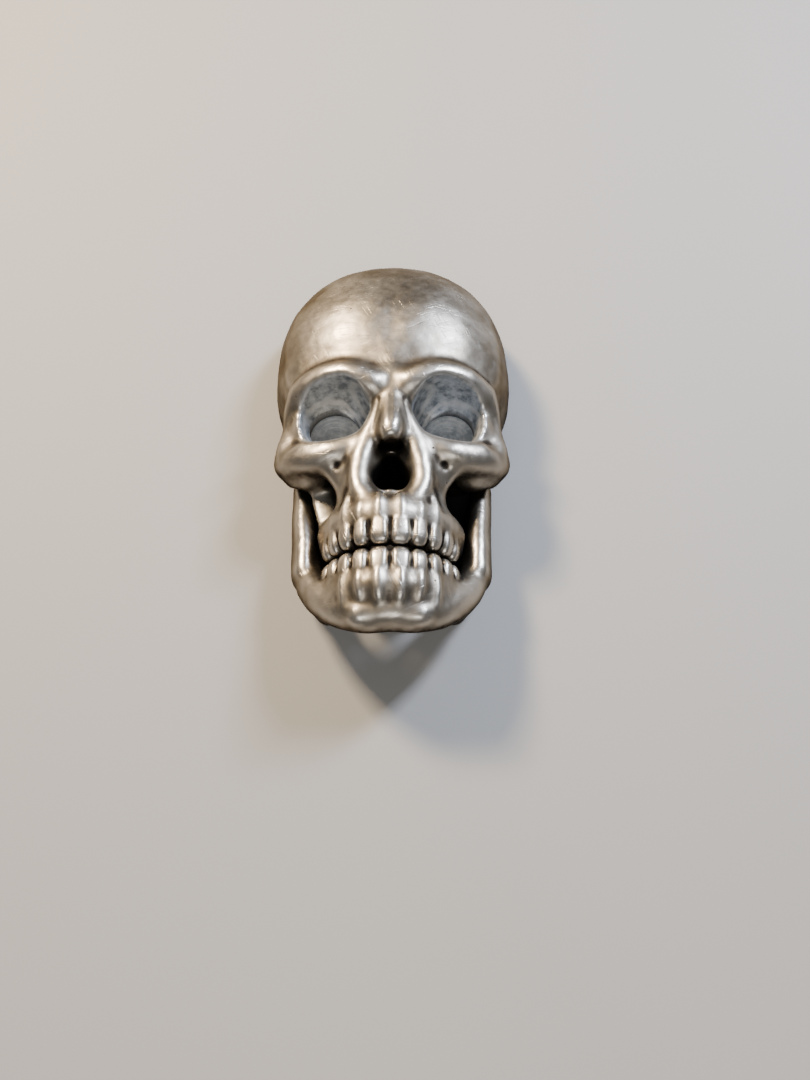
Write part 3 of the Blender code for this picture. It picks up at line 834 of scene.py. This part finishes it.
def patina_and_painted_side_shade(tree, mottle):
    """How thick the dark film is, with painted shade added on the steep sides, more so low
    down: the film stays where the wheel could not reach, in grooves and in valleys, and its
    border is uneven."""
    sky, fine, broad, painted_side_shade = (
        add(tree, "ShaderNodeAttribute", attribute_name=name).outputs["Fac"]
        for name in ("open_sky", "fine_hollow", "broad_hollow", "painted_side_shade"))
    shade = add(tree, "ShaderNodeMapRange", {
        "Value": sky, "From Min": 0.66, "From Max": 0.12})
    groove = add(tree, "ShaderNodeMapRange", {
        "Value": fine, "From Min": 0.015, "From Max": 0.09})
    valley = add(tree, "ShaderNodeMapRange", {
        "Value": broad, "From Min": 0.15, "From Max": 1.1, "To Max": 0.45})
    film_and_side_shade = add(tree, "ShaderNodeMath", {
        0: shade.outputs["Result"], 1: groove.outputs["Result"]}, operation="MAXIMUM")
    film_and_side_shade = add(tree, "ShaderNodeMath", {0: film_and_side_shade.outputs["Value"], 1: valley.outputs["Result"]})
    # Painted shade: the steep sides, more so low down, are darkened with the film's colours.
    film_and_side_shade = add(tree, "ShaderNodeMath", {0: film_and_side_shade.outputs["Value"], 1: painted_side_shade})
    uneven = add(tree, "ShaderNodeMapRange", {
        "Value": mottle, "From Min": 0.32, "From Max": 0.68, "To Min": 0.72, "To Max": 1.18})
    film_and_side_shade = add(tree, "ShaderNodeMath", {
        0: film_and_side_shade.outputs["Value"], 1: uneven.outputs["Result"]},
        operation="MULTIPLY", use_clamp=True)
    return film_and_side_shade.outputs["Value"]


def socket_arcs(tree, where):
    """Uneven arcs round the middle of each socket, left by a burr."""
    place = add(tree, "ShaderNodeSeparateXYZ", {"Vector": where})
    across = add(tree, "ShaderNodeMath", {0: place.outputs["X"]}, operation="ABSOLUTE")
    both = add(tree, "ShaderNodeCombineXYZ", {
        "X": across.outputs["Value"], "Y": place.outputs["Y"]})
    about = add(tree, "ShaderNodeMapping", {
        "Vector": both.outputs["Vector"], "Location": tuple(-orbit_centre(1, 0) * MM)})
    arc_pitch = 1.3  # a ring texture repeats at pi / 10 of its unit
    arcs = add(tree, "ShaderNodeTexWave", {
        "Vector": about.outputs["Vector"], "Scale": per_mm(arc_pitch) * math.pi / 10,
        "Distortion": 5.0, "Detail": 3, "Detail Scale": 0.6},
        wave_type="RINGS", rings_direction="Z")
    return arcs.outputs["Fac"]


def pewter_colour(tree, where, film_and_side_shade, edge):
    """Cloudy warm silver, bright along worn edges, browned where the film is thin and where
    painted shade darkens the steep sides.
    """
    cloud = add(tree, "ShaderNodeTexNoise", {
        "Vector": where, "Scale": per_mm(9), "Detail": 3, "Roughness": 0.5})
    tone = add(tree, "ShaderNodeMapRange", {
        "Value": cloud.outputs["Fac"], "From Min": 0.35, "From Max": 0.65, "To Max": 0.7})
    metal = add(tree, "ShaderNodeMix", {
        "Factor": tone.outputs["Result"], "A": linear(PEWTER_BODY),
        "B": linear(PEWTER_BRIGHT)}, data_type="RGBA")
    metal = add(tree, "ShaderNodeMix", {
        "Factor": edge, "A": metal.outputs["Result"], "B": linear(PEWTER_BRIGHT)},
        data_type="RGBA")
    # The thin film colour also goes on as painted shade on the steep sides.
    thin_film_and_shade = add(tree, "ShaderNodeMapRange", {"Value": film_and_side_shade, "From Max": 0.55})
    metal = add(tree, "ShaderNodeMix", {
        "Factor": thin_film_and_shade.outputs["Result"], "A": metal.outputs["Result"],
        "B": linear(THIN_FILM_AND_SIDE_SHADE)}, data_type="RGBA")
    return metal.outputs["Result"]


def socket_patina_with_painted_light(tree, where, mottle):
    """Blotchy blue-grey, painted paler than the patina to stand in for light the deep sockets
    lack, and rubbed paler along the arcs that a burr left.
    """
    blotch = add(tree, "ShaderNodeMapRange", {
        "Value": mottle, "From Min": 0.36, "From Max": 0.62})
    # Painted light: these blue-greys are paler than the patina, standing in for light the deep
    # sockets lack.
    colour = add(tree, "ShaderNodeMix", {
        "Factor": blotch.outputs["Result"], "A": linear("#767B80"), "B": linear("#B9BCBE")},
        data_type="RGBA")
    rub = add(tree, "ShaderNodeMapRange", {
        "Value": socket_arcs(tree, where), "From Min": 0.6, "From Max": 0.95, "To Max": 0.55})
    colour = add(tree, "ShaderNodeMix", {
        "Factor": rub.outputs["Result"], "A": colour.outputs["Result"],
        "B": linear("#D0CFCB")}, data_type="RGBA")
    return colour.outputs["Result"]


def pewter_satin(tree, mottle, film_and_side_shade, edge):
    """The roughness: duller under the film and a little glossier along worn edges."""
    satin = add(tree, "ShaderNodeMapRange", {
        "Value": mottle, "From Min": 0.3, "From Max": 0.7, "To Min": 0.35, "To Max": 0.45})
    satin = add(tree, "ShaderNodeMath", {
        0: film_and_side_shade, 1: 0.20, 2: satin.outputs["Result"]}, operation="MULTIPLY_ADD")
    satin = add(tree, "ShaderNodeMath", {
        0: edge, 1: -0.08, 2: satin.outputs["Value"]}, operation="MULTIPLY_ADD")
    return satin.outputs["Value"]


def pewter_relief(tree, where, mottle, pits):
    """The bump, coarsest first: rubbed waves, cast grain, hairlines and pinholes."""
    waves = add(tree, "ShaderNodeTexNoise", {
        "Vector": where, "Scale": per_mm(3.2), "Detail": 1})
    grain = add(tree, "ShaderNodeTexNoise", {
        "Vector": where, "Scale": per_mm(0.55), "Detail": 3, "Roughness": 0.6})
    scratch = 0.0
    for turn, width, seed in ((28, 0.26, 1), (-64, 0.30, 2), (86, 0.28, 3)):
        scratch = add(tree, "ShaderNodeMath", {
            0: fine_scratches(tree, where, turn, width, seed), 1: scratch},
            operation="MAXIMUM").outputs["Value"]
    normal = {}
    for height, depth, strength, sunk in (
            (waves.outputs["Fac"], 0.14, 0.40, False),
            (mottle, 0.05, 0.35, False),
            (grain.outputs["Fac"], 0.022, 0.50, False),
            (scratch, 0.022, 0.70, True),
            (pits, 0.08, 0.60, True)):
        bump = add(tree, "ShaderNodeBump", {
            "Height": height, "Distance": depth * MM, "Strength": strength, **normal},
            invert=sunk)
        normal = {"Normal": bump.outputs["Normal"]}
    return bump.outputs["Normal"]


def antiqued_pewter(name):
    """Cast pewter, satin polished and then antiqued: warm silver where the wheel reached, a
    brown-grey film in the hollows, nearly black in the grooves, bright along worn edges, painted
    shade on the steep sides, and a blue-grey patina left in the sockets, painted paler there to
    stand in for light that the deep sockets lack."""
    material, tree, shader = new_material(name)
    where = add(tree, "ShaderNodeTexCoord").outputs["Object"]
    mottle = add(tree, "ShaderNodeTexNoise", {
        "Vector": where, "Scale": per_mm(1.6), "Detail": 5, "Roughness": 0.6}).outputs["Fac"]
    film_and_side_shade = patina_and_painted_side_shade(tree, mottle)
    pits = casting_pits(tree, where, 2.6, 0.26)
    fine = add(tree, "ShaderNodeAttribute", attribute_name="fine_hollow")
    edge = add(tree, "ShaderNodeMapRange", {
        "Value": fine.outputs["Fac"], "From Min": -0.02, "From Max": -0.08}).outputs["Result"]
    socket = add(tree, "ShaderNodeAttribute", attribute_name="socket").outputs["Fac"]

    # The thick film colour also goes on as painted shade low on the steep sides.
    thick_film_and_shade = add(tree, "ShaderNodeMapRange", {"Value": film_and_side_shade, "From Min": 0.45})
    thick_film_and_shade = add(tree, "ShaderNodeMath", {
        0: thick_film_and_shade.outputs["Result"], 1: pits}, operation="MAXIMUM").outputs["Value"]
    colour = add(tree, "ShaderNodeMix", {
        "Factor": thick_film_and_shade, "A": pewter_colour(tree, where, film_and_side_shade, edge),
        "B": linear(THICK_FILM_AND_SIDE_SHADE)}, data_type="RGBA")
    colour = add(tree, "ShaderNodeMix", {
        "Factor": socket, "A": colour.outputs["Result"],
        "B": socket_patina_with_painted_light(tree, where, mottle)}, data_type="RGBA")
    tree.links.new(colour.outputs["Result"], shader.inputs["Base Color"])

    filmed_and_shaded = add(tree, "ShaderNodeMath", {0: thick_film_and_shade, 1: socket}, operation="MAXIMUM")
    bare = add(tree, "ShaderNodeMapRange", {
        "Value": filmed_and_shaded.outputs["Value"], "To Min": 1.0, "To Max": 0.55})
    tree.links.new(bare.outputs["Result"], shader.inputs["Metallic"])
    tree.links.new(pewter_satin(tree, mottle, film_and_side_shade, edge), shader.inputs["Roughness"])
    tree.links.new(pewter_relief(tree, where, mottle, pits), shader.inputs["Normal"])
    # Painted shade in the reflections: the tint darkens the grazing reflections along the edges,
    # as a dark surrounding would.
    shader.inputs["Specular Tint"].default_value = linear("#857D73")  # dull at grazing angles
    return material


def patinated_cup_with_painted_light(name, centre):
    """Turned pewter left with its patina: blotchy blue-grey, painted paler to stand in for light
    the deep sockets lack, with faint arcs from the tool and paler rubs."""
    material, tree, shader = new_material(name)
    where = add(tree, "ShaderNodeTexCoord").outputs["Object"]
    about = add(tree, "ShaderNodeMapping", {
        "Vector": where, "Location": tuple(-c * MM for c in centre)})
    ring_pitch = 0.9  # a ring texture repeats at pi / 10 of its unit
    arcs = add(tree, "ShaderNodeTexWave", {
        "Vector": about.outputs["Vector"], "Scale": per_mm(ring_pitch) * math.pi / 10,
        "Distortion": 4.0, "Detail": 3, "Detail Scale": 0.7},
        wave_type="RINGS", rings_direction="Z")
    blotch = add(tree, "ShaderNodeTexNoise", {
        "Vector": where, "Scale": per_mm(2.4), "Detail": 5, "Roughness": 0.62})
    speck = add(tree, "ShaderNodeTexNoise", {
        "Vector": where, "Scale": per_mm(0.45), "Detail": 3})
    cloudy = add(tree, "ShaderNodeMapRange", {
        "Value": blotch.outputs["Fac"], "From Min": 0.36, "From Max": 0.64})
    # Painted light: these blue-greys are paler than the patina, standing in for light the deep
    # sockets lack.
    metal = add(tree, "ShaderNodeMix", {
        "Factor": cloudy.outputs["Result"], "A": linear("#A6ABAF"), "B": linear("#D6D9DA")},
        data_type="RGBA")
    arc = add(tree, "ShaderNodeMapRange", {
        "Value": arcs.outputs["Fac"], "From Min": 0.55, "From Max": 0.95, "To Max": 0.6})
    rub = add(tree, "ShaderNodeMath", {
        0: arc.outputs["Result"], 1: cloudy.outputs["Result"]}, operation="MULTIPLY")
    metal = add(tree, "ShaderNodeMix", {
        "Factor": rub.outputs["Value"], "A": metal.outputs["Result"],
        "B": linear("#E4E2DC")}, data_type="RGBA")
    spot = add(tree, "ShaderNodeMapRange", {
        "Value": speck.outputs["Fac"], "From Min": 0.64, "From Max": 0.76, "To Max": 0.7})
    metal = add(tree, "ShaderNodeMix", {
        "Factor": spot.outputs["Result"], "A": metal.outputs["Result"],
        "B": linear("#7C8389")}, data_type="RGBA")
    tree.links.new(metal.outputs["Result"], shader.inputs["Base Color"])
    satin = add(tree, "ShaderNodeMapRange", {
        "Value": blotch.outputs["Fac"], "From Min": 0.3, "From Max": 0.7,
        "To Min": 0.62, "To Max": 0.46})
    tree.links.new(satin.outputs["Result"], shader.inputs["Roughness"])
    shader.inputs["Metallic"].default_value = 0.4
    relief = add(tree, "ShaderNodeBump", {
        "Height": arcs.outputs["Fac"], "Distance": 0.03 * MM, "Strength": 0.3})
    relief = add(tree, "ShaderNodeBump", {
        "Height": speck.outputs["Fac"], "Distance": 0.05 * MM, "Strength": 0.5,
        "Normal": relief.outputs["Normal"]})
    tree.links.new(relief.outputs["Normal"], shader.inputs["Normal"])
    return material


def moulded_plastic():
    """Black ABS with a fine moulded texture, drawn coarse enough to show."""
    material, tree, shader = new_material("moulded_black_abs")
    where = add(tree, "ShaderNodeTexCoord").outputs["Object"]
    grain = add(tree, "ShaderNodeTexNoise", {"Vector": where, "Scale": per_mm(0.4), "Detail": 3})
    colour = add(tree, "ShaderNodeMix", {
        "Factor": grain.outputs["Fac"], "A": linear("#161617"), "B": linear("#232324")},
        data_type="RGBA")
    tree.links.new(colour.outputs["Result"], shader.inputs["Base Color"])
    shader.inputs["Roughness"].default_value = 0.5
    bump = add(tree, "ShaderNodeBump", {
        "Height": grain.outputs["Fac"], "Distance": 0.03 * MM, "Strength": 0.7})
    tree.links.new(bump.outputs["Normal"], shader.inputs["Normal"])
    return material


def acrylic_foam():
    """Black closed-cell acrylic foam: matt, with its fine cells drawn coarse enough to show."""
    material, tree, shader = new_material("closed_cell_acrylic_foam")
    where = add(tree, "ShaderNodeTexCoord").outputs["Object"]
    cells = add(tree, "ShaderNodeTexVoronoi", {"Vector": where, "Scale": per_mm(0.35)})
    colour = add(tree, "ShaderNodeMix", {
        "Factor": cells.outputs["Distance"], "A": linear("#0E0E0F"), "B": linear("#29292A")},
        data_type="RGBA")
    tree.links.new(colour.outputs["Result"], shader.inputs["Base Color"])
    shader.inputs["Roughness"].default_value = 0.85
    bump = add(tree, "ShaderNodeBump", {
        "Height": cells.outputs["Distance"], "Distance": 0.08 * MM, "Strength": 0.8})
    tree.links.new(bump.outputs["Normal"], shader.inputs["Normal"])
    return material


def turned_steel():
    """Plain turned steel, with marks round the shank, drawn coarser than real ones."""
    material, tree, shader = new_material("turned_screw_steel")
    where = add(tree, "ShaderNodeTexCoord").outputs["Object"]
    lay = add(tree, "ShaderNodeMapping", {"Vector": where, "Scale": (0.1, 0.1, 1)})
    marks = add(tree, "ShaderNodeTexNoise", {
        "Vector": lay.outputs["Vector"], "Scale": per_mm(0.2), "Detail": 2})
    colour = add(tree, "ShaderNodeMix", {
        "Factor": marks.outputs["Fac"], "A": linear("#B9BABD"), "B": linear("#D2D2D3")},
        data_type="RGBA")
    tree.links.new(colour.outputs["Result"], shader.inputs["Base Color"])
    shader.inputs["Metallic"].default_value = 1.0
    shader.inputs["Roughness"].default_value = 0.3
    bump = add(tree, "ShaderNodeBump", {
        "Height": marks.outputs["Fac"], "Distance": 0.02 * MM, "Strength": 0.6})
    tree.links.new(bump.outputs["Normal"], shader.inputs["Normal"])
    return material


def paint(obj, material):
    """Gives the object this one material."""
    obj.data.materials.clear()
    obj.data.materials.append(material)


# ---------------------------------------------------------------- the set

def make_camera():
    """A close hand-held view from the chin's end, looking down at the face."""
    pitch, above_axis, beside_axis = math.radians(65), math.radians(7.2), math.radians(-0.9)
    distance = 0.163
    forward = Vector((0, math.cos(pitch), -math.sin(pitch)))
    up = Vector((0, math.sin(pitch), math.cos(pitch)))
    right = Vector((1, 0, 0))
    target = Vector((0, 0, 0.40 * TOTAL_HEIGHT * MM))
    reach = forward + up * math.tan(above_axis) + right * math.tan(beside_axis)
    data = bpy.data.cameras.new("camera")
    data.sensor_width = 36
    data.lens = 27
    data.clip_start = 0.005
    camera = bpy.data.objects.new("camera", data)
    camera.location = target - reach * distance
    camera.rotation_euler = forward.to_track_quat("-Z", "Y").to_euler()
    bpy.context.scene.collection.objects.link(camera)
    bpy.context.scene.camera = camera


def make_light(name, place, size, power, colour):
    """A rectangular soft light that faces the object."""
    data = bpy.data.lights.new(name, "AREA")
    data.shape = "RECTANGLE"
    data.size, data.size_y = size
    data.energy = power
    data.color = linear(colour)[:3]
    light = bpy.data.objects.new(name, data)
    light.location = place
    light.rotation_euler = (-Vector(place)).to_track_quat("-Z", "Y").to_euler()
    bpy.context.scene.collection.objects.link(light)


def make_floor():
    """A plain pale floor, a hair below the pad's underside."""
    bm = bmesh.new()
    bmesh.ops.create_grid(bm, x_segments=1, y_segments=1, size=3)
    mesh = bpy.data.meshes.new("floor")
    bm.to_mesh(mesh)
    bm.free()
    floor = bpy.data.objects.new("floor", mesh)
    floor.location.z = -0.1 * MM
    bpy.context.scene.collection.objects.link(floor)
    material, _, shader = new_material("pale_floor")
    shader.inputs["Base Color"].default_value = linear("#A5A29D")
    shader.inputs["Roughness"].default_value = 0.7
    paint(floor, material)


def make_studio():
    """A dim room with a warm light, a cool one and a weak one from the front."""
    world = bpy.data.worlds.new("studio")
    world.use_nodes = True
    world.node_tree.nodes["Background"].inputs["Color"].default_value = linear("#C6C7CA")
    world.node_tree.nodes["Background"].inputs["Strength"].default_value = 0.24
    bpy.context.scene.world = world
    make_light("warm_key", (-0.22, 0.22, 0.32), (0.085, 0.085), 4.3, "#FFE7C6")
    make_light("cool_fill", (0.24, 0.20, 0.32), (0.065, 0.14), 3.3, "#DCE8FF")
    make_light("front_fill", (0.0, -0.30, 0.36), (0.26, 0.16), 0.6, "#FFFFFF")


# ---------------------------------------------------------------- putting it together

def stand_for(made, material, node_name):
    """Gives a finished piece its material and puts it in its CAD node's place."""
    paint(made, material)
    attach(made, BODY)
    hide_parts(node_name)


skull, jaw = make_castings()
pewter = antiqued_pewter("antiqued_cast_pewter")
stand_for(skull, pewter, "upper_skull")
stand_for(jaw, pewter, "lower_jaw")

for place in ("left", "right"):
    cup = make_eye_cup("turned_eye_cup_" + place, "eye_cup_" + place)
    low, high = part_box("eye_cup_" + place)
    finish = patinated_cup_with_painted_light("patinated_turned_pewter_" + place, (low + high) / 2 / MM)
    stand_for(cup, finish, "eye_cup_" + place)

plate = die_cut("moulded_backing_plate", "backing_plate", 0.30)
stand_for(plate, moulded_plastic(), "backing_plate")

foam_pad = die_cut("foam_adhesive_pad", "adhesive_pad", 0.22)
stand_for(foam_pad, acrylic_foam(), "adhesive_pad")

screw_finish = turned_steel()
for screw in SCREWS:
    paint(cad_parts[screw], screw_finish)

make_floor()
make_studio()
make_camera()
